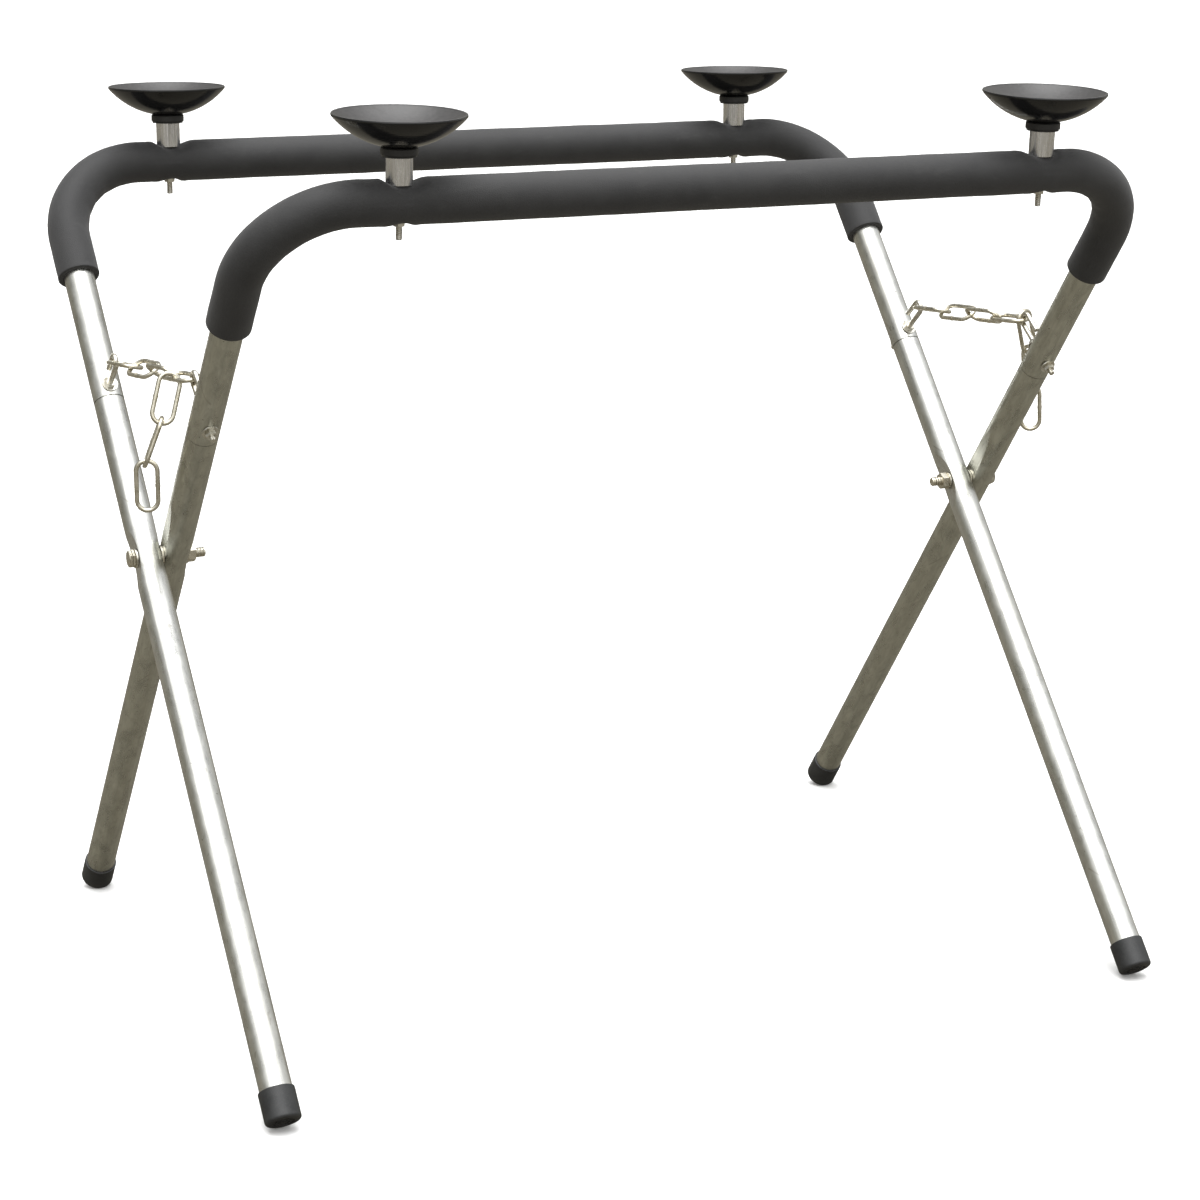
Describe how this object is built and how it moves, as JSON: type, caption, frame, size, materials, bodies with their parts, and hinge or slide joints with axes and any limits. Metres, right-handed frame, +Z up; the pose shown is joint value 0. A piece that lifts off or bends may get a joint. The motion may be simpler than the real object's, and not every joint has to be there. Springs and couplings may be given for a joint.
{
  "type": "folding sawhorse",
  "caption": "Folding tube-steel sawhorse: crossed U frames on pivots, foam-padded top bars, rubber support cups, capped feet and check chains.",
  "frame": {"origin": "on the floor, under the middle of the open stand", "axes": "+X along the top bars, -Y towards the frame whose feet stand at the back and whose top bar is in front, +Z up"},
  "size_m": [1.0517, 0.7823, 0.9338],
  "materials": {
    "tube_steel_a": "satin",
    "tube_steel_b": "satin",
    "foam": "matte",
    "cup_rubber": "satin",
    "collar_plastic": "satin",
    "foot_rubber": "matte",
    "spacer_steel": "satin",
    "chain_zinc": "satin",
    "hardware_zinc": "satin"
  },
  "bodies": {
    "frame_b": {"u_tube_b": "tube_steel_b", "lower_leg_b_left": "tube_steel_b", "lower_leg_b_right": "tube_steel_b", "foam_sleeve_b": "foam", "foot_cap_b_left": "foot_rubber", "foot_cap_b_right": "foot_rubber", "cup_b_left": "cup_rubber", "cup_b_right": "cup_rubber", "cup_collars_b": "collar_plastic", "spacer_tubes_b": "spacer_steel", "cup_studs_b": "hardware_zinc", "cup_washers_b": "hardware_zinc", "cup_nuts_b": "hardware_zinc", "hook_bolt_b_left": "hardware_zinc", "hook_bolt_b_right": "hardware_zinc", "hook_washers_b": "hardware_zinc", "hook_nuts_b": "hardware_zinc", "pivot_bolts": "hardware_zinc", "pivot_washers": "hardware_zinc", "pivot_nuts": "hardware_zinc"},
    "frame_a": {"u_tube_a": "tube_steel_a", "lower_leg_a_left": "tube_steel_a", "lower_leg_a_right": "tube_steel_a", "foam_sleeve_a": "foam", "foot_cap_a_left": "foot_rubber", "foot_cap_a_right": "foot_rubber", "cup_a_left": "cup_rubber", "cup_a_right": "cup_rubber", "cup_collars_a": "collar_plastic", "spacer_tubes_a": "spacer_steel", "cup_studs_a": "hardware_zinc", "cup_washers_a": "hardware_zinc", "cup_nuts_a": "hardware_zinc", "hook_bolt_a_left": "hardware_zinc", "hook_bolt_a_right": "hardware_zinc", "hook_washers_a": "hardware_zinc", "hook_nuts_a": "hardware_zinc"},
    "chain_left_link_1": {"link_left_1": "chain_zinc"},
    "chain_left_link_2": {"link_left_2": "chain_zinc"},
    "chain_left_link_3": {"link_left_3": "chain_zinc"},
    "chain_left_link_4": {"link_left_4": "chain_zinc"},
    "chain_left_spare_end": {"link_left_5": "chain_zinc", "link_left_6": "chain_zinc", "link_left_7": "chain_zinc"},
    "chain_right_link_1": {"link_right_1": "chain_zinc"},
    "chain_right_link_2": {"link_right_2": "chain_zinc"},
    "chain_right_link_3": {"link_right_3": "chain_zinc"},
    "chain_right_link_4": {"link_right_4": "chain_zinc"},
    "chain_right_spare_end": {"link_right_5": "chain_zinc", "link_right_6": "chain_zinc", "link_right_7": "chain_zinc"}
  },
  "joints": [
    {"name": "fold", "type": "hinge", "parent": "frame_b", "child": "frame_a", "pos_m": [0, 0.02157, 0.46733], "axis": [-1, 0, 0], "range_deg": [0, 55]},
    {"name": "left_link_1_swing", "type": "hinge", "parent": "frame_b", "child": "chain_left_link_1", "pos_m": [-0.477, 0.14828, 0.67748], "axis": [1, 0, 0], "range_deg": [0, 42.37]},
    {"name": "left_link_2_swing", "type": "hinge", "parent": "frame_b", "child": "chain_left_link_2", "pos_m": [-0.477, 0.14293, 0.71051], "axis": [1, 0, 0], "range_deg": [0, 39.45]},
    {"name": "left_link_3_swing", "type": "hinge", "parent": "frame_a", "child": "chain_left_link_3", "pos_m": [-0.477, -0.09389, 0.68785], "axis": [-1, 0, 0], "range_deg": [0, 43.99]},
    {"name": "left_link_4_swing", "type": "hinge", "parent": "frame_a", "child": "chain_left_link_4", "pos_m": [-0.477, -0.06753, 0.66195], "axis": [-1, 0, 0], "range_deg": [0, 76.53]},
    {"name": "left_spare_end_swing", "type": "hinge", "parent": "frame_a", "child": "chain_left_spare_end", "pos_m": [-0.477, -0.30088, 0.84453], "axis": [-1, 0, 0], "range_deg": [0, 5.38]},
    {"name": "right_link_1_swing", "type": "hinge", "parent": "frame_b", "child": "chain_right_link_1", "pos_m": [0.477, 0.14828, 0.67748], "axis": [1, 0, 0], "range_deg": [0, 42.37]},
    {"name": "right_link_2_swing", "type": "hinge", "parent": "frame_b", "child": "chain_right_link_2", "pos_m": [0.477, 0.14293, 0.71051], "axis": [1, 0, 0], "range_deg": [0, 39.45]},
    {"name": "right_link_3_swing", "type": "hinge", "parent": "frame_a", "child": "chain_right_link_3", "pos_m": [0.477, -0.09389, 0.68785], "axis": [-1, 0, 0], "range_deg": [0, 43.99]},
    {"name": "right_link_4_swing", "type": "hinge", "parent": "frame_a", "child": "chain_right_link_4", "pos_m": [0.477, -0.06753, 0.66195], "axis": [-1, 0, 0], "range_deg": [0, 76.53]},
    {"name": "right_spare_end_swing", "type": "hinge", "parent": "frame_a", "child": "chain_right_spare_end", "pos_m": [0.477, -0.09814, 0.6866], "axis": [-1, 0, 0], "range_deg": [0, 21.91]}
  ],
  "couplings": [
    {"joint": "left_link_1_swing", "follows": "fold", "ratio": 0.77027},
    {"joint": "left_link_2_swing", "follows": "fold", "ratio": 0.71718},
    {"joint": "left_link_3_swing", "follows": "fold", "ratio": 0.79975},
    {"joint": "left_link_4_swing", "follows": "fold", "ratio": 1.3915},
    {"joint": "left_spare_end_swing", "follows": "fold", "ratio": 0.09789},
    {"joint": "right_link_1_swing", "follows": "fold", "ratio": 0.77027},
    {"joint": "right_link_2_swing", "follows": "fold", "ratio": 0.71718},
    {"joint": "right_link_3_swing", "follows": "fold", "ratio": 0.79975},
    {"joint": "right_link_4_swing", "follows": "fold", "ratio": 1.3915},
    {"joint": "right_spare_end_swing", "follows": "fold", "ratio": 0.39831}
  ]
}
